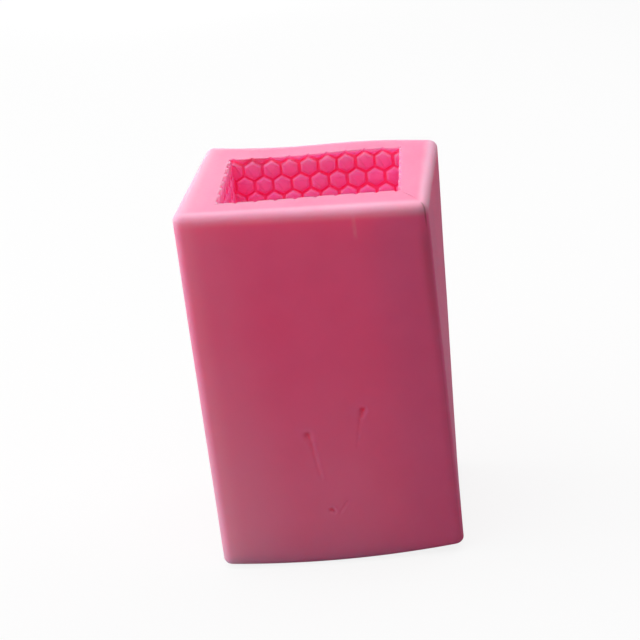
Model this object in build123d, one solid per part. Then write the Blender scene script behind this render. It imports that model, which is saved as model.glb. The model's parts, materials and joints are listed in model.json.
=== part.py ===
from build123d import *
import math
import os

# Silicone candle mold: a thick-walled rectangular casting with an embossed honeycomb cavity.
#
# The casting is slit down one corner and across its floor, so it opens like a book about the
# opposite corner, which stays whole and bends. Honeycomb pads on the four cavity walls print
# comb cells into the sides of a beeswax pillar candle.
#
# Frame: millimetres, +Z up, origin at the middle of the underside. +X is the right of the broad
# front face and -Y is the front. The slit is at the front right corner, and the bending corner
# is at the back left.

# ---- The block ------------------------------------------------------------------------------
BLOCK_WIDTH = 68.0  # along X
BLOCK_DEPTH = 55.0  # along Y
BLOCK_HEIGHT = 105.0  # along Z
WALL = 9.0  # side walls, measured to the bottom of the honeycomb grooves
FLOOR = 10.0  # under the cavity
UPRIGHT_RADIUS = 2.5  # the four upright outside corners
RIM_RADIUS = 2.0  # outside edge of the rim
FOOT_RADIUS = 1.5  # outside edge of the underside

# ---- The honeycomb --------------------------------------------------------------------------
CELL_PITCH = 5.4  # worker cell, flat to flat
GROOVE_ROOT = 0.7  # gap between two pads where they meet the wall
PAD_HEIGHT = 0.8  # how far a pad stands off the wall
PAD_DRAFT = 20.0  # degrees that a pad's flanks lean in
FIRST_CELL = 2.9  # end of a wall to the middle of its first cell
BROAD_FIRST_ROW = -0.9  # rim to the middle of the top row, front and back walls
NARROW_FIRST_ROW = 2.2  # the same on the two narrow walls
LEAST_PAD = 0.6  # a pad that the cavity's edge clips to less than this isn't made

# ---- The wick bore, the slit and the bending corner -----------------------------------------
WICK_BORE_RADIUS = 1.25
SLIT_GAP = 0.2  # between the two cut faces
HINGE_ARM = 7.0  # how far the bending corner reaches along each wall, past the cavity's corner

# ---- Shallow dents in the front face --------------------------------------------------------
# Each is a tapering groove: middle of its head and of its tail as (x, z), the two radii of the
# tool that would leave it, and how deep each end is sunk.
FRONT_DENTS = [
    ((-5.8, 40.2), (-2.0, 24.3), 1.2, 0.8, 0.50, 0.05),
    ((10.5, 47.6), (9.5, 44.8), 0.9, 0.5, 0.50, 0.20),
    ((9.5, 44.8), (7.3, 35.1), 0.5, 0.4, 0.20, 0.05),
    ((-0.6, 16.3), (1.1, 15.9), 0.6, 0.5, 0.40, 0.15),
    ((1.1, 15.9), (3.6, 19.0), 0.5, 0.4, 0.15, 0.30),
]

# ---- Worked out from the above --------------------------------------------------------------
CAVITY_WIDTH = BLOCK_WIDTH - 2 * WALL
CAVITY_DEPTH = BLOCK_DEPTH - 2 * WALL
CAVITY_HEIGHT = BLOCK_HEIGHT - FLOOR
ROW_PITCH = CELL_PITCH * math.sqrt(3) / 2
PAD_FLAT = (CELL_PITCH - GROOVE_ROOT) / 2  # middle of a pad to its flat side, at the wall
PAD_POINT = PAD_FLAT * 2 / math.sqrt(3)  # middle of a pad to its corner, at the wall
STANDING = (Align.CENTER, Align.CENTER, Align.MIN)
BACK_LEFT = (Align.MIN, Align.MAX, Align.MIN)  # a box placed by its back left corner


def block():
    """The outside of the casting, with its edges rounded."""
    body = Box(BLOCK_WIDTH, BLOCK_DEPTH, BLOCK_HEIGHT, align=STANDING)
    body = fillet(body.edges().filter_by(Axis.Z), UPRIGHT_RADIUS)
    body = fillet(body.faces().sort_by(Axis.Z)[-1].edges(), RIM_RADIUS)
    return fillet(body.faces().sort_by(Axis.Z)[0].edges(), FOOT_RADIUS)


def cavity():
    """The pouring space out to the bottom of the grooves, open at the rim."""
    return Pos(0, 0, FLOOR) * Box(CAVITY_WIDTH, CAVITY_DEPTH, CAVITY_HEIGHT, align=STANDING)


def cell_places(wall_width, first_row):
    """Middles of a wall's cells, as (distance from the wall's end, depth below the rim)."""
    overhang = PAD_POINT - LEAST_PAD
    last_row = math.ceil((CAVITY_HEIGHT - first_row) / ROW_PITCH)
    places = []
    for row in range(-1, last_row + 1):
        depth = first_row + row * ROW_PITCH
        if not -overhang < depth < CAVITY_HEIGHT + overhang:
            continue
        along = FIRST_CELL - CELL_PITCH / 2 * (row % 2)
        while along < wall_width + PAD_FLAT - LEAST_PAD:
            if along > LEAST_PAD - PAD_FLAT:
                places.append((along, depth))
            along += CELL_PITCH
    return places


def wall_pads(wall_width, from_middle, turn, first_row):
    """The pads of the cavity wall that lies from_middle along +Y, turned about Z."""
    outline = RegularPolygon(PAD_POINT, 6, rotation=30)
    pad = extrude(outline, PAD_HEIGHT, taper=PAD_DRAFT)
    on_wall = Rot(0, 0, turn) * Pos(0, from_middle, BLOCK_HEIGHT) * Rot(90, 0, 0)
    return [
        on_wall * Pos(wall_width / 2 - along, -depth, 0) * pad
        for along, depth in cell_places(wall_width, first_row)
    ]


def honeycomb():
    """The pads of all four walls, clipped to the cavity, as a list of solids."""
    pads = []
    for turn in (0, 180):
        pads += wall_pads(CAVITY_WIDTH, CAVITY_DEPTH / 2, turn, BROAD_FIRST_ROW)
    for turn in (90, 270):
        pads += wall_pads(CAVITY_DEPTH, CAVITY_WIDTH / 2, turn, NARROW_FIRST_ROW)
    return (Compound(pads) & cavity()).solids()


def front_dents():
    """The tools that leave the dents: rounded, tapering, and lying along the front face."""
    front = -BLOCK_DEPTH / 2
    tools = []
    for (x0, z0), (x1, z1), head, tail, head_depth, tail_depth in FRONT_DENTS:
        start = Vector(x0, front - head + head_depth, z0)
        end = Vector(x1, front - tail + tail_depth, z1)
        run = end - start
        cone = Cone(head, tail, run.length, align=STANDING)
        tools.append(Plane(origin=start, z_dir=run) * cone)
        tools.append(Pos(*start) * Sphere(head))
        tools.append(Pos(*end) * Sphere(tail))
    return tools


def casting():
    """The whole casting as it leaves its box, before it is cut open."""
    bore = Cylinder(WICK_BORE_RADIUS, FLOOR, align=STANDING)
    shell = block() - cavity() - bore - front_dents()
    return shell.fuse(*honeycomb())


def slit():
    """The knife's path as thin upright blades: through the front right corner, then across the
    floor by way of the wick bore to the cavity's back left corner."""
    half_width, half_depth = CAVITY_WIDTH / 2, CAVITY_DEPTH / 2
    past_corner = 2 * WALL
    path = [
        (half_width + past_corner, -half_depth - past_corner),
        (half_width, -half_depth),
        (0, 0),
        (-half_width, half_depth),
    ]
    blades = []
    for start, end in zip(path, path[1:]):
        run = Vector(*end) - Vector(*start)
        blade = Box(run.length + SLIT_GAP, SLIT_GAP, BLOCK_HEIGHT, align=STANDING)
        middle = (Vector(*start) + Vector(*end)) / 2
        turn = math.degrees(math.atan2(run.Y, run.X))
        blades.append(Pos(*middle) * Rot(0, 0, turn) * blade)
    return blades


def hinge_zone():
    """The space of the bending corner. Above the floor it takes in the pads on its two arms,
    and beside the floor it stops at the walls' own thickness."""
    side = WALL + HINGE_ARM
    square = Pos(-BLOCK_WIDTH / 2, BLOCK_DEPTH / 2, 0) * Box(
        side, side, BLOCK_HEIGHT, align=BACK_LEFT
    )
    over_floor = Pos(-CAVITY_WIDTH / 2, CAVITY_DEPTH / 2, 0) * Box(
        HINGE_ARM, HINGE_ARM, FLOOR, align=BACK_LEFT
    )
    return square - over_floor


def cut_open(whole):
    """The bending corner, the front half and the back half of the casting."""
    zone = hinge_zone()
    corner = whole & zone
    halves = (whole - zone - slit()).solids().sort_by(SortBy.VOLUME)[-2:]
    front, back = halves.sort_by(Axis.Y)
    return {"corner_hinge": corner, "front_half": front, "back_half": back}


def main():
    os.makedirs("parts", exist_ok=True)
    for name, piece in cut_open(casting()).items():
        export_step(piece, f"parts/{name}.step")


main()
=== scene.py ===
import itertools
import json
import math
import random

import bmesh
import bpy
from bpy.props import FloatProperty, FloatVectorProperty, IntProperty, PointerProperty
from mathutils import Matrix, Vector, noise


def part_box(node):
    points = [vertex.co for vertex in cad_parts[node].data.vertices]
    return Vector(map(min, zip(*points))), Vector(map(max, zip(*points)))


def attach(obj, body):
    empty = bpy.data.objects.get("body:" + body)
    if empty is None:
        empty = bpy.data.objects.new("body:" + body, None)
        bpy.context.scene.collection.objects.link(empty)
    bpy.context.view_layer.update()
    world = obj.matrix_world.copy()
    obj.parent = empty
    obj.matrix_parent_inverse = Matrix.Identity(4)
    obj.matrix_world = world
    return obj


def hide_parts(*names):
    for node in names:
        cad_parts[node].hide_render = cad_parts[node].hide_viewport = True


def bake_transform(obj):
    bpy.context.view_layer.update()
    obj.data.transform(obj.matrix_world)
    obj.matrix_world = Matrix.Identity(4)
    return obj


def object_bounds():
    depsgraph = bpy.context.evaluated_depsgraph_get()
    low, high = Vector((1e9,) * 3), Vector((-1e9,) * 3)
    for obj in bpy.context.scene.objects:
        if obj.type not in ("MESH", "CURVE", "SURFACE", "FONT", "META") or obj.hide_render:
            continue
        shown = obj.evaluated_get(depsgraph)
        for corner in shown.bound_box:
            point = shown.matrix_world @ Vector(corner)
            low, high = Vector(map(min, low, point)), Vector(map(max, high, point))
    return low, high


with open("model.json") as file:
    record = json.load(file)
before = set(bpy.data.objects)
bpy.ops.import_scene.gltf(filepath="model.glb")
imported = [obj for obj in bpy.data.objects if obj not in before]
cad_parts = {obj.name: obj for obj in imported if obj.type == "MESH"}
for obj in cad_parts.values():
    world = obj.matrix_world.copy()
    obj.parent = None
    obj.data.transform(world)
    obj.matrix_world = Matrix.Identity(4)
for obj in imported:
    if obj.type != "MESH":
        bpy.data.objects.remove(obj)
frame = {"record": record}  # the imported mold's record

bl_info = {
    "name": "Honeycomb candle mold",
    "version": (1, 0, 0),
    "blender": (4, 5, 0),
    "location": "3D View > Sidebar > Candle mold",
    "description": "Pours a silicone mold for a honeycomb pillar candle and slits it open down one corner",
    "category": "Object",
}

MM = 0.001
CAD_LOW, CAD_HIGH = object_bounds()
BLOCK = CAD_HIGH - CAD_LOW
MOUNTS = {mount["name"]: mount for mount in frame["record"]["mounts"]}
WICK = MOUNTS["wick_hole"]
HINGE_LOW, HINGE_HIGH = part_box("corner_hinge")
CASTING = "casting"  # the whole casting, before it is cut open
TALL = 2 * BLOCK.z  # taller than anything that is cut
UP = Vector((0, 0, 1))

# How far a corner of the casting sits off its straight place, in millimetres. A corner is named
# by its share of the block's width, depth and height.
CORNER_SHIFTS = {
    (0, 1, 1): (0.75, 0.0, 1.8),
    (1, 1, 1): (-0.65, 0.0, 0.0),
    (1, 0, 0): (0.0, 0.0, 1.2),
}

# Marks in the front face, each of one or two dents. A dent is (x, z) of its two ends, then the
# radius and the depth at each end, and how high the silicone is pushed up beside it, all in
# millimetres.
MARKS = [
    [
        ((-5.3, 39.4), (-4.9, 37.6), (0.90, 0.70), (0.80, 0.30), 0.16),
        ((-4.7, 36.8), (-3.2, 26.2), (0.55, 0.40), (0.36, 0.08), 0.10),
    ],
    [
        ((10.5, 46.0), (9.9, 44.4), (0.70, 0.60), (0.90, 0.45), 0.16),
        ((9.4, 43.6), (7.8, 35.0), (0.40, 0.32), (0.24, 0.06), 0.03),
    ],
    [
        ((-1.3, 16.2), (-0.9, 15.8), (0.60, 0.50), (0.80, 0.45), 0.12),
        ((0.8, 15.4), (3.2, 18.6), (0.40, 0.32), (0.10, 0.30), 0.10),
    ],
]
DENT_GRID = 0.28  # spacing of the mesh that shows them, in millimetres
DENT_MARGIN = 3.0  # how far that mesh reaches past a dent's ends, in millimetres
LIP_SIDE = Vector((0.6, 0.8))  # the side of a dent, in the front face, that its lip stands on

# A pad's flank, shoulder and crown, each as its run inwards and its rise, in shares of the pad's
# height.
PAD_RINGS = ((0.30, 0.74), (0.26, 0.20), (0.50, 0.06))
PAD_ROOT = 0.5 * MM  # how far a pad reaches into the wall
PAD_STRAY = (0.05, 0.05, 0.03)  # spread of a pad's place, in millimetres
PAD_SPREAD = 0.012  # spread of a pad's size, as a share of it
CAVITY_EDGE = 0.5 * MM  # radius of the cavity's upright edges and of the edge round its bottom

KNIFE_NORMAL = Vector((0.62, 0.78))  # the way that the slit wavers, in plan
KNIFE_STEP = 2.5 * MM  # spacing of the edge loops that let it waver
KNIFE_WAVE = 9 * MM  # length of its waves
KNIFE_OVERRUN = 5 * MM  # how far those loops go past the rim and the underside
CREASE = math.radians(32)  # an edge that turns more than this is shaded as a sharp edge

SILICONE_IOR = 1.41
SILICONE_SPECULAR = 0.2
SCATTER_BY_COLOUR = (1.0, 0.45, 0.55)  # red light travels furthest in the pink rubber
SEAM_FADE = 0.8  # gain of the scatter's depth with distance from a seam of the bending corner
SLIT_FADE = 0.4  # the same with distance from the slit
CLOUD = 16 * MM  # size of the faint patches in the rubber's colour
DIMPLES = 5 * MM  # size of the shallow dimples in its surface
GRAIN_SHARE = 0.35  # height of the fine grain, as a share of the dimples'
BUMP = 0.06 * MM  # height of the dimples
LEFT_GLOW = 1.7  # how much stronger the cavity's glow is on the left, towards the lamps

FLOOR_SIZE = 3.0  # half the floor's width, in metres
FLOOR_CLOUD = 0.3  # size of the faint unevenness of its paper, in metres
LAMP_AIM = 0.6  # the height that the lamps look at, as a share of the block's

# The studio lamps: name, place in metres, side of the square in metres, power in watts.
LAMPS = [
    ("key", (-0.24, -0.03, 0.80), 1.40, 11.3),
    ("left", (-0.75, 0.06, 0.20), 0.40, 2.7),
    ("right", (0.42, 0.22, 0.60), 0.40, 1.1),
    ("back", (-0.15, 0.80, 0.10), 0.19, 0.8),
]


# ---- What a user can change -------------------------------------------------------------------


def length(name, default, description):
    """A length property, in metres."""
    return FloatProperty(
        name=name, default=default, description=description, unit="LENGTH", subtype="DISTANCE", precision=5
    )


def colour(name, default, description):
    """A colour property, with its default as sRGB bytes."""
    return FloatVectorProperty(
        name=name, default=[linear(byte) for byte in default], description=description, subtype="COLOR",
        min=0, max=1,
    )


def linear(byte):
    """One sRGB byte as a linear value."""
    share = byte / 255
    return share / 12.92 if share <= 0.04045 else ((share + 0.055) / 1.055) ** 2.4


def angle(name, default, description):
    """An angle property, with its default in degrees."""
    return FloatProperty(name=name, default=math.radians(default), description=description, subtype="ANGLE")


def share(name, default, description):
    """A property from 0 to 1."""
    return FloatProperty(name=name, default=default, description=description, min=0, max=1)


class BlockSettings(bpy.types.PropertyGroup):
    """The outside of the casting and the room that it leaves for the candle."""

    wall: length("Wall", 9 * MM, "Side walls, to the bottom of the honeycomb grooves")
    floor: length("Floor", WICK["dims"]["length_mm"] * MM, "Silicone under the cavity")
    upright: length("Upright edges", 2.5 * MM, "Radius of the four upright outside edges")
    rim: length("Rim edge", 2.0 * MM, "Radius of the rim's outside edge")
    foot: length("Foot edge", 1.5 * MM, "Radius of the underside's edge")
    grid: length("Grid", 3.0 * MM, "Spacing of the edge loops that let the walls bow")


class HoneycombSettings(bpy.types.PropertyGroup):
    """The comb cells that the cavity walls print into a candle."""

    pitch: length("Cell pitch", 5.4 * MM, "Worker cell, from flat to flat")
    groove: length("Groove", 0.6 * MM, "Gap between two pads where they meet the wall")
    height: length("Pad height", 0.8 * MM, "How far a pad stands off the wall")
    rounding: length("Pad corner", 0.22 * MM, "How far back a pad's six corners are cut")
    first_cell: length("First cell", 2.9 * MM, "End of a wall to the middle of its first cell")
    broad_row: length("Broad walls' top row", -0.9 * MM, "Rim to the middle of the top row of cells")
    narrow_row: length("Narrow walls' top row", 2.2 * MM, "Rim to the middle of the top row of cells")
    seed: IntProperty(name="Seed", default=11, description="Picks the small unevenness of the pads")


class SlitSettings(bpy.types.PropertyGroup):
    """The knife cut that lets the mold open."""

    kerf: length("Kerf", 0.01 * MM, "Gap between the two cut faces")
    gape: length("Gape", 0.01 * MM, "How much wider the gap is at the rim")
    gape_depth: length("Gape depth", 9 * MM, "How far down from the rim the slit gapes")
    waver: length("Waver", 0.25 * MM, "How far the knife strayed from its line")


class CrookedSettings(bpy.types.PropertyGroup):
    """How the rubber came out of its box: a little twisted, bowed and out of square."""

    twist: angle("Twist", -5.4, "Turn of the outside from underside to rim")
    cavity_turn: angle("Cavity turn", 0.9, "Turn of the cavity in the block")
    cavity_shift: length("Cavity shift", 0.45 * MM, "How far the cavity sits to the right")
    foot_bow: length("Foot bow", 1.1 * MM, "How far the ends of the front foot edge lift")
    front_bulge: length("Front bulge", 1.65 * MM, "How far the foot of the front wall stands out")
    rim_wave: length("Rim wave", 0.6 * MM, "Height of the wave along the back of the rim")
    uneven: length("Unevenness", 0.10 * MM, "Hollows and swellings of the outside")
    patch: length("Patch", 22 * MM, "Size of the hollows and swellings")
    seed: IntProperty(name="Seed", default=1795136897, description="Picks where the swellings lie")


class SiliconeSettings(bpy.types.PropertyGroup):
    """The rubber's colours and finish, with light and shade painted into some of the colours."""

    body: colour("Rubber", (248, 103, 150), "Pigmented silicone in even light")
    # Painted light: a lighter colour on the cavity walls, standing in for the light that bounces round the
    # cavity and comes through its walls.
    inside: colour("Inside", (255, 134, 200), "The cleaner silicone of the cavity walls")
    # Painted shade: a darker colour deep between two pads, where shade falls in the grooves.
    groove: colour("Groove", (254, 96, 160), "The same where it lies deep between two pads")
    # Pale colour for real marks, the scuff and the specks, and also for painted light: the lit left edges,
    # the lit lower block and the sheen on the rim.
    pale_marks_and_painted_light: colour("Bloom", (244, 184, 206), "Whitish bloom on edges and scuffs")
    glow: colour("Glow", (255, 42, 98), "Light that comes through the walls into the cavity")
    glow_strength: share("Glow strength", 0.09, "How bright that light is")
    # Brown of old wax and dirt in the slit, also used for the painted shade that fades down the corner beside
    # it.
    residue_and_shade: colour("Residue", (150, 74, 58), "Old wax and dirt drawn into the slit")
    scatter: length("Scatter", 7.5 * MM, "How far red light travels under the surface")
    roughness: share("Roughness", 0.5, "Satin of the surface")
    grain: length("Grain", 0.9 * MM, "Size of the fine grain that the box left")
    speck_spacing: length("Speck spacing", 5.5 * MM, "Size of the cells that may hold one speck")


class StageSettings(bpy.types.PropertyGroup):
    """The floor, the lights and the camera."""

    floor: colour("Floor", (252, 252, 252), "Pale floor")
    shadow: share("Shadow", 0.12, "How much of the shadow shows on the floor")
    bounce: share("Bounce", 0.36, "How much light the floor throws back at the mold")
    room: share("Room light", 0.07, "Even light on the mold from all round")
    azimuth: angle("Azimuth", 6.44, "Camera's turn to the right")
    elevation: angle("Elevation", 22.56, "Camera's height")
    roll: angle("Roll", -6.13, "Camera's roll about its view")
    distance: length("Distance", 544.7 * MM, "Camera to the point that it looks at")
    aim_x: length("Aim across", -1.43 * MM, "That point's place to the right of the middle")
    aim_z: length("Aim height", 62.2 * MM, "That point's height")
    lens: FloatProperty(name="Lens", default=108.4, description="Focal length, millimetres on a 36 mm sensor")


SETTINGS = {
    "mold_block": BlockSettings,
    "mold_honeycomb": HoneycombSettings,
    "mold_slit": SlitSettings,
    "mold_crooked": CrookedSettings,
    "mold_silicone": SiliconeSettings,
    "mold_stage": StageSettings,
}


# ---- Working with meshes ----------------------------------------------------------------------


def to_object(bm, name):
    """Ends a bmesh and links it as an object that sits at the origin."""
    mesh = bpy.data.meshes.new(name)
    bm.to_mesh(mesh)
    bm.free()
    thing = bpy.data.objects.new(name, mesh)
    bpy.context.scene.collection.objects.link(thing)
    return thing


def discard(*things):
    """Removes objects and their meshes."""
    for thing in things:
        mesh = thing.data
        bpy.data.objects.remove(thing)
        bpy.data.meshes.remove(mesh)


def combine(target, tool, operation):
    """Applies a boolean to the target's mesh and discards the tool."""
    untouched = len(target.data.polygons)
    step = target.modifiers.new(operation, "BOOLEAN")
    step.operation = operation
    step.solver = "MANIFOLD"
    step.object = tool
    view = bpy.context.evaluated_depsgraph_get()
    made = bpy.data.meshes.new_from_object(target.evaluated_get(view))
    target.modifiers.clear()
    old = target.data
    target.data = made
    bpy.data.meshes.remove(old)
    discard(tool)
    if not made.polygons or len(made.polygons) == untouched:
        raise RuntimeError(f"{operation} of {target.name} didn't cut")


def smooth_share(value):
    """A number held between 0 and 1 and eased at both ends."""
    held = min(1, max(0, value))
    return held * held * (3 - 2 * held)


def everything(bm):
    """All of a bmesh's geometry, as the operators take it."""
    return bm.verts[:] + bm.edges[:] + bm.faces[:]


def slice_across(bm, axis, low, high, step, geom=None):
    """Adds evenly spaced edge loops across one axis, so that the mesh can bow. They cross the
    given geometry or all of it. Returns the geometry with what the cuts added."""
    geom = geom or everything(bm)
    count = max(1, round((high - low) / step))
    for number in range(1, count):
        place, normal = Vector(), Vector()
        place[axis] = low + (high - low) * number / count
        normal[axis] = 1
        cut = bmesh.ops.bisect_plane(bm, geom=geom, dist=1e-7, plane_co=place, plane_no=normal)
        geom = cut["geom"]
    return geom


def round_edges(bm, edges, radius, segments):
    """Rounds edges to a radius."""
    bmesh.ops.bevel(
        bm, geom=edges, offset=radius, offset_type="OFFSET", segments=segments, profile=0.5,
        affect="EDGES", material=-1, clamp_overlap=True,
    )


def level_edges(bm, height):
    """Edges that lie at one height."""
    return [edge for edge in bm.edges if all(abs(vert.co.z - height) < 1e-6 for vert in edge.verts)]


def upright_edges(bm):
    """Edges that run along Z."""
    return [edge for edge in bm.edges if (edge.verts[0].co - edge.verts[1].co).xy.length < 1e-6]


def box_between(low, high):
    """A bmesh box between two corners."""
    size = Vector(high) - Vector(low)
    middle = (Vector(high) + Vector(low)) / 2
    bm = bmesh.new()
    bmesh.ops.create_cube(bm, size=1, matrix=Matrix.Translation(middle) @ Matrix.Diagonal((*size, 1)))
    return bm


# ---- The casting ------------------------------------------------------------------------------


def cavity_half():
    """Half the cavity's width and depth, to the bottom of the grooves."""
    wall = bpy.context.scene.mold_block.wall
    return BLOCK.x / 2 - wall, BLOCK.y / 2 - wall


def block():
    """The outside of the casting, with its edges rounded and loops to bow by."""
    settings = bpy.context.scene.mold_block
    bm = box_between(CAD_LOW, CAD_HIGH)
    round_edges(bm, upright_edges(bm), settings.upright, 6)
    round_edges(bm, level_edges(bm, CAD_HIGH.z), settings.rim, 6)
    round_edges(bm, level_edges(bm, CAD_LOW.z), settings.foot, 5)
    for axis in range(3):
        slice_across(bm, axis, CAD_LOW[axis], CAD_HIGH[axis], settings.grid)
    return to_object(bm, CASTING)


def pad_stamp():
    """One honeycomb pad, lying on the XY plane with a point along Y: a rounded hexagon whose
    flanks lean in to a softly domed top. Its root reaches below the plane, into the wall."""
    settings = bpy.context.scene.mold_honeycomb
    point = (settings.pitch - settings.groove) / math.sqrt(3)
    bm = bmesh.new()
    bmesh.ops.create_circle(
        bm, cap_ends=True, segments=6, radius=point, matrix=Matrix.Translation((0, 0, -PAD_ROOT))
    )
    bmesh.ops.bevel(
        bm, geom=bm.verts[:], offset=settings.rounding, offset_type="OFFSET", segments=1, profile=0.5,
        affect="VERTICES", material=-1, clamp_overlap=True,
    )
    top = bmesh.ops.extrude_face_region(bm, geom=bm.faces[:], use_keep_orig=True)["geom"]
    verts = [item for item in top if isinstance(item, bmesh.types.BMVert)]
    faces = [item for item in top if isinstance(item, bmesh.types.BMFace)]
    bmesh.ops.translate(bm, verts=verts, vec=UP * PAD_ROOT)
    bmesh.ops.recalc_face_normals(bm, faces=bm.faces[:])
    for run, rise in PAD_RINGS:
        bmesh.ops.inset_region(
            bm, faces=faces, thickness=run * settings.height, depth=rise * settings.height,
            use_even_offset=True, use_boundary=True,
        )
    mesh = bpy.data.meshes.new("pad_stamp")
    bm.to_mesh(mesh)
    bm.free()
    return mesh


def cell_places(wall_width, first_row):
    """Middles of a wall's cells, as (distance from the wall's end, depth below the rim). They go
    on past the wall's edges by a cell, and are trimmed there."""
    settings = bpy.context.scene.mold_honeycomb
    row_pitch = settings.pitch * math.sqrt(3) / 2
    depth_end = BLOCK.z - bpy.context.scene.mold_block.floor + settings.pitch / 2
    places = []
    row = -1
    while first_row + row * row_pitch < depth_end:
        along = settings.first_cell - settings.pitch / 2 * (row % 2)
        while along < wall_width + 0.35 * settings.pitch:
            if along > -0.35 * settings.pitch:
                places.append((along, first_row + row * row_pitch))
            along += settings.pitch
        row += 1
    return places


def wall_pads(stamp, wall_width, from_middle, turns, first_row, chance):
    """The pads of two facing cavity walls, as one object."""
    bm = bmesh.new()
    for turn in turns:
        on_wall = (
            Matrix.Rotation(math.radians(turn), 4, "Z")
            @ Matrix.Translation((0, from_middle, CAD_HIGH.z))
            @ Matrix.Rotation(math.radians(90), 4, "X")
        )
        for along, depth in cell_places(wall_width, first_row):
            before = len(bm.verts)
            bm.from_mesh(stamp)
            bm.verts.ensure_lookup_table()
            stray = Vector([chance.gauss(0, spread) for spread in PAD_STRAY]) * MM
            place = on_wall @ Matrix.Translation(Vector((wall_width / 2 - along, -depth, 0)) + stray)
            size = 1 + chance.gauss(0, PAD_SPREAD)
            bmesh.ops.transform(
                bm, matrix=place @ Matrix.Diagonal((size, size, 1, 1)), verts=bm.verts[before:]
            )
    return to_object(bm, "pads")


def candle():
    """The candle that the cavity makes: a plain bar with the honeycomb pressed into its sides."""
    shape = bpy.context.scene.mold_block
    comb = bpy.context.scene.mold_honeycomb
    half_width, half_depth = cavity_half()
    top = CAD_HIGH.z + 2 * comb.pitch
    low, high = (-half_width, -half_depth, shape.floor), (half_width, half_depth, top)
    bm = box_between(low, high)
    round_edges(bm, upright_edges(bm), CAVITY_EDGE, 3)
    round_edges(bm, level_edges(bm, shape.floor), CAVITY_EDGE, 3)
    for axis in range(3):
        slice_across(bm, axis, low[axis], high[axis], 1.5 * shape.grid)
    bar = to_object(bm, "candle")
    stamp = pad_stamp()
    chance = random.Random(comb.seed)
    broad = wall_pads(stamp, 2 * half_width, half_depth, (0, 180), comb.broad_row, chance)
    combine(bar, broad, "DIFFERENCE")
    narrow = wall_pads(stamp, 2 * half_depth, half_width, (90, 270), comb.narrow_row, chance)
    combine(bar, narrow, "DIFFERENCE")
    bpy.data.meshes.remove(stamp)
    return bar


def wick_needle():
    """The round needle that leaves the wick hole."""
    bm = bmesh.new()
    radius = WICK["dims"]["r_mm"] * MM
    bmesh.ops.create_cone(
        bm, cap_ends=True, segments=32, radius1=radius, radius2=radius, depth=TALL / 2,
        matrix=Matrix.Translation(WICK["pos_m"]),
    )
    return to_object(bm, "wick_needle")


class MOLD_OT_pour_casting(bpy.types.Operator):
    """Pours the whole casting: the block, less the candle and the wick hole"""

    bl_idname = "mold.pour_casting"
    bl_label = "Pour the casting"

    def execute(self, context):
        whole = block()
        combine(whole, candle(), "DIFFERENCE")
        combine(whole, wick_needle(), "DIFFERENCE")
        return {"FINISHED"}


# ---- Cutting it open --------------------------------------------------------------------------


def slit_path():
    """The knife's path in plan, from past the front right corner to the hinge."""
    half_width, half_depth = cavity_half()
    reach = BLOCK.x
    return [
        Vector((half_width + reach, -half_depth - reach)),
        Vector((half_width, -half_depth)),
        Vector((0, 0)),
        Vector((-half_width, half_depth)),
    ]


def prism(outline):
    """An upright prism over an outline in plan, taller than the block."""
    bm = bmesh.new()
    verts = [bm.verts.new((point.x, point.y, CAD_LOW.z - TALL / 4)) for point in outline]
    face = bm.faces.new(verts)
    top = bmesh.ops.extrude_face_region(bm, geom=[face], use_keep_orig=True)["geom"]
    lifted = [item for item in top if isinstance(item, bmesh.types.BMVert)]
    bmesh.ops.translate(bm, verts=lifted, vec=UP * TALL)
    bmesh.ops.recalc_face_normals(bm, faces=bm.faces[:])
    return bm


def half_space(side):
    """The space on one side of the slit: -1 for the front, 1 for the back. Its cut face wavers
    as the knife did, and stands off the knife's line by half the kerf."""
    slit = bpy.context.scene.mold_slit
    path = slit_path()
    far = 2 * BLOCK.x
    back_corner = path[-1] + Vector((-far, far))
    around = Vector((-far, -far)) if side < 0 else Vector((far, far))
    bm = prism([*path, back_corner, around * 2])
    slice_across(bm, 2, CAD_LOW.z - KNIFE_OVERRUN, CAD_HIGH.z + KNIFE_OVERRUN, KNIFE_STEP)
    for vert in bm.verts:
        at = vert.co.xy
        nearest = min((at - point).length for point in path)
        if nearest > 1e-6:
            continue
        stray = noise.noise(Vector((0, 0, vert.co.z / KNIFE_WAVE))) * slit.waver
        gap = slit.kerf
        if at.y > -cavity_half()[1] - 1e-6:
            stray = 0
        else:
            gap += slit.gape * smooth_share((vert.co.z - CAD_HIGH.z) / slit.gape_depth + 1)
        vert.co.xy += KNIFE_NORMAL * (stray + side * gap / 2)
    return to_object(bm, "half_space")


def hinge_space():
    """The space of the uncut corner: a square above the floor, and only the walls beside it."""
    far = Vector((-TALL, TALL))
    inner = Vector((HINGE_HIGH.x, HINGE_LOW.y))
    half_width, half_depth = cavity_half()
    floor = bpy.context.scene.mold_block.floor
    square = to_object(
        box_between((far.x, inner.y, -TALL), (inner.x, far.y, TALL)), "hinge_space"
    )
    low, high = (-half_width, inner.y - TALL, -2 * TALL), (inner.x + TALL, half_depth, floor)
    combine(square, to_object(box_between(low, high), "beside_floor"), "DIFFERENCE")
    return square


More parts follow.
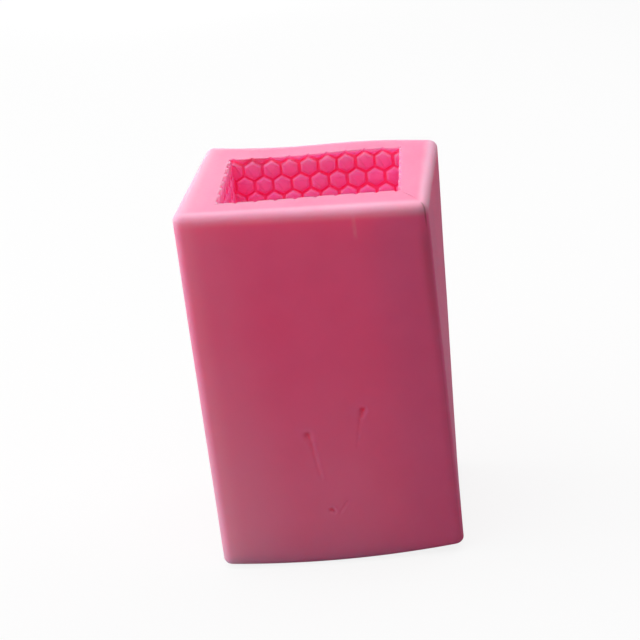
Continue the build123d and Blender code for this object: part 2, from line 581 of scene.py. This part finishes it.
def crooked(point):
    """Where a point of the straight casting lies on the real, slightly crooked one."""
    bend = bpy.context.scene.mold_crooked
    across, back, up = ((point - CAD_LOW)[axis] / BLOCK[axis] for axis in range(3))
    sides = min(point.x - CAD_LOW.x, CAD_HIGH.x - point.x, point.y - CAD_LOW.y, CAD_HIGH.y - point.y)
    inside = smooth_share(sides / bpy.context.scene.mold_block.wall)
    turn = (1 - inside) * bend.twist * (up - 0.5) + inside * bend.cavity_turn
    moved = Matrix.Rotation(turn, 3, "Z") @ point
    moved.x += inside * bend.cavity_shift
    ends = (2 * across - 1) ** 2
    front, low = 1 - back, 1 - up
    moved.y -= bend.front_bulge * (1 - ends) * front * low**2 * (1 - inside)
    moved.z += bend.foot_bow * ends * front * low**3
    moved.z -= bend.rim_wave * math.sin(2 * math.pi * across) * back * up**4
    for (right, rear, top), shift in CORNER_SHIFTS.items():
        weight = abs(1 - right - across) * abs(1 - rear - back) * abs(1 - top - up)
        moved += Vector(shift) * (MM * weight)
    swell = noise.noise_vector(point / bend.patch) * (bend.uneven * (1 - inside))
    swell.z *= smooth_share(4 * up) * 0.5
    return moved + swell


def dent_depth(x, z):
    """How deep the front face is pushed in at a place, in metres, with the raised lips beside
    each dent as negative depth."""
    depth = 0
    place = Vector((x, z)) / MM
    for start, end, radii, depths, lip in itertools.chain(*MARKS):
        start, end = Vector(start), Vector(end)
        run = end - start
        along = min(1, max(0, (place - start).dot(run) / run.length_squared))
        radius = radii[0] + (radii[1] - radii[0]) * along
        deep = depths[0] + (depths[1] - depths[0]) * along
        away = place - start - run * along
        depth += deep * math.exp(-((away.length / radius) ** 2))
        uphill = 0.5 + 0.5 * away.normalized().dot(LIP_SIDE) if away.length else 0
        depth -= lip * uphill * math.exp(-(((away.length - 2 * radius) / (0.8 * radius)) ** 2))
    return depth * MM


def press_dents(bm):
    """Gives the front face a fine mesh around each mark, and presses its dents in."""
    front = CAD_LOW.y + 1e-6
    for mark in MARKS:
        ends = [point for dent in mark for point in dent[:2]]
        low = [(min(axis) - DENT_MARGIN) * MM for axis in zip(*ends)]
        high = [(max(axis) + DENT_MARGIN) * MM for axis in zip(*ends)]
        faces = [
            face for face in bm.faces
            if all(vert.co.y < front for vert in face.verts)
            and low[0] < face.calc_center_median().x < high[0]
            and low[1] < face.calc_center_median().z < high[1]
        ]
        edges = {edge for face in faces for edge in face.edges}
        verts = {vert for face in faces for vert in face.verts}
        geom = faces + list(edges) + list(verts)
        for axis, side in ((0, 0), (2, 1)):
            geom = slice_across(bm, axis, low[side], high[side], DENT_GRID * MM, geom)
    for vert in bm.verts:
        if vert.co.y < front:
            vert.co.y += dent_depth(vert.co.x, vert.co.z)


def remember_straight(bm):
    """Keeps each point's place on the straight casting, which the rubber's pattern follows, and
    how far down between two pads it lies."""
    half_width, half_depth = cavity_half()
    height = bpy.context.scene.mold_honeycomb.height
    straight = bm.verts.layers.float_vector.new("straight")
    groove = bm.verts.layers.float.new("groove")
    for vert in bm.verts:
        vert[straight] = vert.co
        gap = min(half_width - abs(vert.co.x), half_depth - abs(vert.co.y))
        in_cavity = gap > -1e-5 and vert.co.z > bpy.context.scene.mold_block.floor
        vert[groove] = max(0, 1 - gap / height) if in_cavity else 0


def cut_piece(name, steps, finish=None):
    """Cuts one piece out of the casting by (operation, space) steps, and finishes it."""
    noise.seed_set(bpy.context.scene.mold_crooked.seed)  # its vectors follow the clock otherwise
    piece = bpy.data.objects.new(name, bpy.data.objects[CASTING].data.copy())
    bpy.context.scene.collection.objects.link(piece)
    for operation, space in steps:
        combine(piece, space, operation)
    piece.data.name = name
    bm = bmesh.new()
    bm.from_mesh(piece.data)
    if finish:
        finish(bm)
    remember_straight(bm)
    for vert in bm.verts:
        vert.co = crooked(vert.co)
    bmesh.ops.recalc_face_normals(bm, faces=bm.faces[:])
    for face in bm.faces:
        face.smooth = True
    for edge in bm.edges:
        edge.smooth = len(edge.link_faces) == 2 and edge.calc_face_angle(0) < CREASE
    bm.to_mesh(piece.data)
    bm.free()
    piece.data.materials.clear()
    piece.data.materials.append(silicone())
    return piece


class MOLD_OT_cut_front(bpy.types.Operator):
    """Cuts out the front half: front wall, left wall and their share of the floor"""

    bl_idname = "mold.cut_front"
    bl_label = "Cut the front half"

    def execute(self, context):
        piece = cut_piece(
            "front_half_rubber", [("INTERSECT", half_space(-1)), ("DIFFERENCE", hinge_space())], press_dents
        )
        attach(piece, "front")
        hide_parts("front_half")
        return {"FINISHED"}


class MOLD_OT_cut_back(bpy.types.Operator):
    """Cuts out the back half: back wall, right wall and their share of the floor"""

    bl_idname = "mold.cut_back"
    bl_label = "Cut the back half"

    def execute(self, context):
        piece = cut_piece(
            "back_half_rubber", [("INTERSECT", half_space(1)), ("DIFFERENCE", hinge_space())]
        )
        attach(piece, "back")
        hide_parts("back_half")
        return {"FINISHED"}


class MOLD_OT_cut_hinge(bpy.types.Operator):
    """Cuts out the uncut corner, which bends as the slit opens"""

    bl_idname = "mold.cut_hinge"
    bl_label = "Cut the bending corner"

    def execute(self, context):
        piece = cut_piece("corner_hinge_rubber", [("INTERSECT", hinge_space())])
        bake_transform(piece)
        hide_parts("corner_hinge")
        return {"FINISHED"}


# ---- Materials --------------------------------------------------------------------------------


class Recipe:
    """A material in the making, with short names for the nodes that it needs."""

    def __init__(self, name):
        self.material = bpy.data.materials.new(name)
        self.material.use_nodes = True
        self.tree = self.material.node_tree
        self.shader = self.tree.nodes["Principled BSDF"]

    def join(self, value, socket):
        """Gives a socket a number, a colour or another node's output."""
        if isinstance(value, bpy.types.NodeSocket):
            self.tree.links.new(value, socket)
        else:
            socket.default_value = value

    def node(self, kind, inputs, **options):
        """A node with its inputs, by name or place, and its options."""
        made = self.tree.nodes.new(kind)
        for option, value in options.items():
            setattr(made, option, value)
        for key, value in inputs.items():
            self.join(value, made.inputs[key])
        return made

    def maths(self, operation, *values):
        """One step of arithmetic."""
        made = self.node("ShaderNodeMath", dict(enumerate(values)), operation=operation)
        return made.outputs[0]

    def ramp(self, value, low, high, start=0.0, end=1.0):
        """Eases from start to end as a value goes from low to high."""
        inputs = {"Value": value, "From Min": low, "From Max": high, "To Min": start, "To Max": end}
        made = self.node("ShaderNodeMapRange", inputs, interpolation_type="SMOOTHSTEP")
        return made.outputs["Result"]

    def mix(self, amount, first, second):
        """One colour laid over another."""
        made = self.node("ShaderNodeMix", {0: amount, 6: first, 7: second}, data_type="RGBA")
        return made.outputs[2]

    def noise(self, place, size, detail=2.0):
        """Cloudy noise from about 0 to 1, with patches of a size in metres."""
        inputs = {"Vector": place, "Scale": 1 / size, "Detail": detail}
        return self.node("ShaderNodeTexNoise", inputs).outputs["Fac"]

    def band(self, value, middle, half_width, soft):
        """1 within half_width of a middle, easing to 0 over a soft edge."""
        away = self.maths("ABSOLUTE", self.maths("SUBTRACT", value, middle))
        return self.ramp(away, half_width, half_width + soft, 1.0, 0.0)

    def product(self, *values):
        """Masks multiplied together."""
        result = values[0]
        for value in values[1:]:
            result = self.maths("MULTIPLY", result, value)
        return result


def silicone():
    """Pink silicone rubber, made once. Its pattern follows the straight casting, so it runs on
    across the seams of the bending corner."""
    name = "pink_silicone"
    if name in bpy.data.materials:
        return bpy.data.materials[name]
    settings = bpy.context.scene.mold_silicone
    make = Recipe(name)
    place = make.node("ShaderNodeAttribute", {}, attribute_name="straight").outputs["Vector"]
    groove = make.node("ShaderNodeAttribute", {}, attribute_name="groove").outputs["Fac"]
    axes = make.node("ShaderNodeSeparateXYZ", {"Vector": place}).outputs
    x, y, z = axes["X"], axes["Y"], axes["Z"]
    cloud = make.noise(place, CLOUD)
    grain = make.noise(place, settings.grain, 3.0)

    in_cavity = cavity_mask(make, x, y, z)
    # Painted light: the cavity walls take the lighter colour.
    body = make.mix(in_cavity, (*settings.body, 1), (*settings.inside, 1))
    # Painted shade: the grooves between the pads are coloured darker.
    deep = make.product(make.ramp(groove, 0.3, 1.1), in_cavity)
    body = make.mix(deep, body, (*settings.groove, 1))
    tint = make.ramp(cloud, 0.3, 0.7, 0.975, 1.02)
    body = make.node("ShaderNodeHueSaturation", {"Color": body, "Value": tint}).outputs["Color"]
    outside = make.maths("SUBTRACT", 1, in_cavity)
    # Painted light: the left edges and the lower block are made paler, where the left lamp and the floor's
    # bounce light them.
    body = make.mix(make.product(painted_side_light(make, x, z), outside), body, (*settings.pale_marks_and_painted_light, 1))
    body = make.mix(scuff(make, x, y, z, grain), body, (*settings.pale_marks_and_painted_light, 1))
    # Painted sheen: a whitish highlight along the rim.
    body = make.mix(rim_painted_sheen(make, x, y, z, cloud), body, (*settings.pale_marks_and_painted_light, 1))
    body = make.mix(specks(make, place, settings.speck_spacing), body, (*settings.pale_marks_and_painted_light, 1))
    # Wax and dirt in the slit, and painted shade in a band down the corner beside it.
    body = make.mix(slit_residue_and_shade(make, x, y, z, cloud), body, (*settings.residue_and_shade, 1))
    make.join(body, make.shader.inputs["Base Color"])

    rough = make.ramp(grain, 0.2, 0.8, settings.roughness - 0.07, settings.roughness + 0.1)
    make.join(rough, make.shader.inputs["Roughness"])
    make.shader.inputs["IOR"].default_value = SILICONE_IOR
    make.shader.inputs["Specular IOR Level"].default_value = SILICONE_SPECULAR
    make.shader.inputs["Subsurface Weight"].default_value = 1
    make.shader.inputs["Subsurface Radius"].default_value = SCATTER_BY_COLOUR
    make.join(scatter_depth(make, x, y, settings.scatter), make.shader.inputs["Subsurface Scale"])

    make.shader.inputs["Emission Color"].default_value = (*settings.glow, 1)
    strength = settings.glow_strength
    glow = make.ramp(x, CAD_LOW.x, 0.0, LEFT_GLOW * strength, strength)
    make.join(make.product(in_cavity, glow), make.shader.inputs["Emission Strength"])

    fine = make.maths("MULTIPLY", grain, GRAIN_SHARE)
    height = make.maths("ADD", fine, make.noise(place, DIMPLES))
    bump = make.node("ShaderNodeBump", {"Height": height, "Distance": BUMP, "Strength": 0.6})
    make.join(bump.outputs["Normal"], make.shader.inputs["Normal"])
    return make.material


def scatter_depth(make, x, y, full):
    """How far light travels under the surface. Light doesn't cross from one piece to the next,
    so the depth fades towards the seams of the bending corner and towards the slit, where both
    sides then match."""
    right = make.maths("SUBTRACT", x, HINGE_HIGH.x)
    ahead = make.maths("SUBTRACT", HINGE_LOW.y, y)
    from_seam = make.maths("ABSOLUTE", make.maths("MAXIMUM", right, ahead))
    off_line, depth = slit_coordinates(make, x, y)
    past_wall = make.maths("SUBTRACT", depth, 2 * bpy.context.scene.mold_block.wall)
    from_slit = make.maths("MAXIMUM", make.maths("ABSOLUTE", off_line), past_wall)
    by_seam = make.maths("MULTIPLY", from_seam, SEAM_FADE)
    by_slit = make.maths("MULTIPLY", from_slit, SLIT_FADE)
    return make.maths("MINIMUM", make.maths("MINIMUM", by_seam, by_slit), full)


def slit_coordinates(make, x, y):
    """Across and along the slit in the front right corner: 0 across on the knife's line, and
    0 along at the sharp corner of the block."""
    from_side = make.maths("SUBTRACT", CAD_HIGH.x, x)
    from_front = make.maths("SUBTRACT", y, CAD_LOW.y)
    return make.maths("SUBTRACT", from_side, from_front), make.maths("ADD", from_side, from_front)


def cavity_mask(make, x, y, z):
    """1 on the walls of the cavity, below the rim."""
    half_width, half_depth = cavity_half()
    soft = 0.3 * MM
    in_width = make.ramp(make.maths("ABSOLUTE", x), half_width, half_width + soft, 1.0, 0.0)
    in_depth = make.ramp(make.maths("ABSOLUTE", y), half_depth, half_depth + soft, 1.0, 0.0)
    below = make.ramp(z, CAD_HIGH.z - 0.9 * MM, CAD_HIGH.z - 0.2 * MM, 1.0, 0.0)
    return make.product(in_width, in_depth, below)


def painted_side_light(make, x, z):
    """Painted light: paler left edges and a paler lower block, most on the left, where the left lamp and the
    floor's bounce light it.
    """
    from_left = make.maths("SUBTRACT", x, CAD_LOW.x)
    edge = make.ramp(from_left, 1 * MM, 8 * MM, 0.24, 0.0)
    left = make.ramp(from_left, 0.0, 26 * MM, 0.18, 0.0)
    low = make.product(make.ramp(z, 5 * MM, 75 * MM, 0.22, 0.0), make.ramp(x, 0.0, CAD_HIGH.x, 1.0, 0.2))
    both = make.maths("MULTIPLY", make.maths("MULTIPLY", left, low), 3)
    return make.maths("ADD", make.maths("ADD", edge, left), make.maths("ADD", low, both))


def scuff(make, x, y, z, grain):
    """The pale smear under the rim of the front face."""
    on_front = make.ramp(y, CAD_LOW.y + 2 * MM, CAD_LOW.y + 4 * MM, 1.0, 0.0)
    across = make.band(x, 14.5 * MM, 0.15 * MM, 0.7 * MM)
    along = make.band(z, 100.3 * MM, 2.5 * MM, 2.5 * MM)
    return make.product(on_front, across, along, make.ramp(grain, 0.1, 0.9, 0.05, 0.25))


def rim_painted_sheen(make, x, y, z, cloud):
    """Painted sheen: a whitish highlight on the rim, strongest along its rounded outside edge."""
    beside = make.maths("SUBTRACT", CAD_HIGH.x, make.maths("ABSOLUTE", x))
    before = make.maths("SUBTRACT", CAD_HIGH.y, make.maths("ABSOLUTE", y))
    from_side = make.maths("MINIMUM", beside, before)
    from_rim = make.maths("SUBTRACT", CAD_HIGH.z, z)
    radius = bpy.context.scene.mold_block.rim
    near_side = make.ramp(from_side, 0.8 * radius, 2.0 * radius, 1.0, 0.5)
    near_rim = make.ramp(from_rim, 0.5 * radius, 2.0 * radius, 1.0, 0.0)
    return make.product(near_side, near_rim, make.ramp(cloud, 0.2, 0.8, 0.7, 0.85))


def specks(make, place, spacing):
    """Tiny pale specks, in a few cells of a random pattern."""
    cells = make.node("ShaderNodeTexVoronoi", {"Vector": place, "Scale": 1 / spacing})
    chosen = make.node("ShaderNodeSeparateColor", {"Color": cells.outputs["Color"]}).outputs["Red"]
    dot = make.ramp(cells.outputs["Distance"], 0.02, 0.06, 1.0, 0.0)
    return make.product(dot, make.maths("GREATER_THAN", chosen, 0.92), 0.35)


def slit_residue_and_shade(make, x, y, z, cloud):
    """Brown wax and dirt in the slit, dark at the rim, and beside it painted shade: a brownish band that
    fades down the corner.
    """
    off_line, depth = slit_coordinates(make, x, y)
    from_front = make.maths("SUBTRACT", y, CAD_LOW.y)
    from_rim = make.maths("SUBTRACT", CAD_HIGH.z, z)
    near_line = make.band(off_line, 0.1 * MM, 0.1 * MM, 0.5 * MM)
    near_rim = make.ramp(from_rim, 3 * MM, 8 * MM, 0.5, 0.1)
    line = make.product(near_line, near_rim, make.ramp(depth, 2.2 * MM, 4 * MM, 1.0, 0.0))
    # Painted shade: a brownish band beside the slit that fades down the corner.
    corner_shade_side = make.band(off_line, 0.9 * MM, 0.8 * MM, 2.4 * MM)
    on_front = make.ramp(from_front, 1 * MM, 3 * MM, 1.0, 0.0)
    fade = make.ramp(from_rim, 12 * MM, 50 * MM, 0.22, 0.02)
    start = make.ramp(from_rim, 4 * MM, 12 * MM, 0.0, 1.0)
    corner_shade = make.product(corner_shade_side, on_front, fade, start, make.ramp(cloud, 0.2, 0.7, 0.6, 1.0))
    return make.maths("MAXIMUM", line, corner_shade)


# ---- The stage --------------------------------------------------------------------------------


def aim(thing, target, roll=0.0):
    """Turns a camera or light to look at a point, then rolls it."""
    look = (Vector(target) - thing.location).to_track_quat("-Z", "Y")
    thing.rotation_euler = (look.to_matrix().to_4x4() @ Matrix.Rotation(roll, 4, "Z")).to_euler()


def area_light(name, place, target, size, power):
    """A soft square lamp."""
    lamp = bpy.data.lights.new(name, "AREA")
    lamp.size = size
    lamp.energy = power
    thing = bpy.data.objects.new(name, lamp)
    bpy.context.scene.collection.objects.link(thing)
    thing.location = place
    aim(thing, target)


def floor_material(settings):
    """A pale floor. The eye sees it nearly evenly white, with a little of the shadow, and the
    light that it throws back at the mold is held down."""
    make = Recipe("pale_floor")
    make.shader.inputs["Base Color"].default_value = (*[settings.bounce] * 3, 1)
    make.shader.inputs["Roughness"].default_value = 0.9
    make.shader.inputs["Specular IOR Level"].default_value = 0.1
    glow = make.node("ShaderNodeEmission", {"Color": (*settings.floor, 1), "Strength": 1.0})
    cloud = make.noise(make.node("ShaderNodeTexCoord", {}).outputs["Object"], FLOOR_CLOUD)
    paper = make.node("ShaderNodeBsdfDiffuse", {"Color": (*settings.floor, 1), "Roughness": cloud})
    seen = make.node("ShaderNodeMixShader", {0: settings.shadow, 1: glow.outputs[0], 2: paper.outputs[0]})
    is_seen = make.node("ShaderNodeLightPath", {}).outputs["Is Camera Ray"]
    inputs = {0: is_seen, 1: make.shader.outputs[0], 2: seen.outputs[0]}
    both = make.node("ShaderNodeMixShader", inputs)
    make.join(both.outputs[0], make.tree.nodes["Material Output"].inputs["Surface"])
    return make.material


def studio_air(settings):
    """White all round to the eye, and a dim even light on the mold."""
    world = bpy.data.worlds.new("studio")
    world.use_nodes = True
    tree = world.node_tree
    dim = tree.nodes["Background"]
    dim.inputs["Color"].default_value = (1, 1, 1, 1)
    dim.inputs["Strength"].default_value = settings.room
    white = tree.nodes.new("ShaderNodeBackground")
    white.inputs["Color"].default_value = (*settings.floor, 1)
    both = tree.nodes.new("ShaderNodeMixShader")
    path = tree.nodes.new("ShaderNodeLightPath")
    tree.links.new(path.outputs["Is Camera Ray"], both.inputs[0])
    tree.links.new(dim.outputs[0], both.inputs[1])
    tree.links.new(white.outputs[0], both.inputs[2])
    tree.links.new(both.outputs[0], tree.nodes["World Output"].inputs["Surface"])
    return world


class MOLD_OT_set_stage(bpy.types.Operator):
    """Sets the floor, the lights and the camera"""

    bl_idname = "mold.set_stage"
    bl_label = "Set the stage"

    def execute(self, context):
        settings = context.scene.mold_stage
        bm = bmesh.new()
        bmesh.ops.create_grid(bm, x_segments=1, y_segments=1, size=FLOOR_SIZE)
        floor = to_object(bm, "floor")
        floor.data.materials.append(floor_material(settings))

        context.scene.world = studio_air(settings)
        middle = Vector((0, 0, BLOCK.z * LAMP_AIM))
        for name, place, size, power in LAMPS:
            area_light(name, place, middle, size, power)

        lens = bpy.data.cameras.new("camera")
        lens.lens = settings.lens
        lens.sensor_width = 36
        lens.clip_start = 0.01
        camera = bpy.data.objects.new("camera", lens)
        context.scene.collection.objects.link(camera)
        turn, lift = settings.azimuth, settings.elevation
        back = Vector((math.sin(turn) * math.cos(lift), -math.cos(turn) * math.cos(lift), math.sin(lift)))
        target = Vector((settings.aim_x, 0, settings.aim_z))
        camera.location = target + back * settings.distance
        aim(camera, target, settings.roll)
        context.scene.camera = camera
        context.scene.view_settings.view_transform = "Standard"
        return {"FINISHED"}


# ---- The add-on -------------------------------------------------------------------------------


STEPS = (MOLD_OT_pour_casting, MOLD_OT_cut_front, MOLD_OT_cut_back, MOLD_OT_cut_hinge, MOLD_OT_set_stage)


class MOLD_PT_sidebar(bpy.types.Panel):
    """Lists the steps and the sizes"""

    bl_label = "Candle mold"
    bl_idname = "MOLD_PT_sidebar"
    bl_space_type = "VIEW_3D"
    bl_region_type = "UI"
    bl_category = "Candle mold"

    def draw(self, context):
        for step in STEPS:
            self.layout.operator(step.bl_idname)
        for name, group in SETTINGS.items():
            settings = getattr(context.scene, name)
            for key in group.__annotations__:
                self.layout.prop(settings, key)


def register():
    for group in SETTINGS.values():
        bpy.utils.register_class(group)
    for name, group in SETTINGS.items():
        setattr(bpy.types.Scene, name, PointerProperty(type=group))
    for step in STEPS:
        bpy.utils.register_class(step)
    bpy.utils.register_class(MOLD_PT_sidebar)


def unregister():
    bpy.utils.unregister_class(MOLD_PT_sidebar)
    for step in reversed(STEPS):
        bpy.utils.unregister_class(step)
    for name, group in SETTINGS.items():
        delattr(bpy.types.Scene, name)
        bpy.utils.unregister_class(group)


def main():
    """Makes the pieces in order."""
    register()
    for step in STEPS:
        family, action = step.bl_idname.split(".")
        getattr(getattr(bpy.ops, family), action)()
    discard(bpy.data.objects[CASTING])


if __name__ == "__main__":
    main()
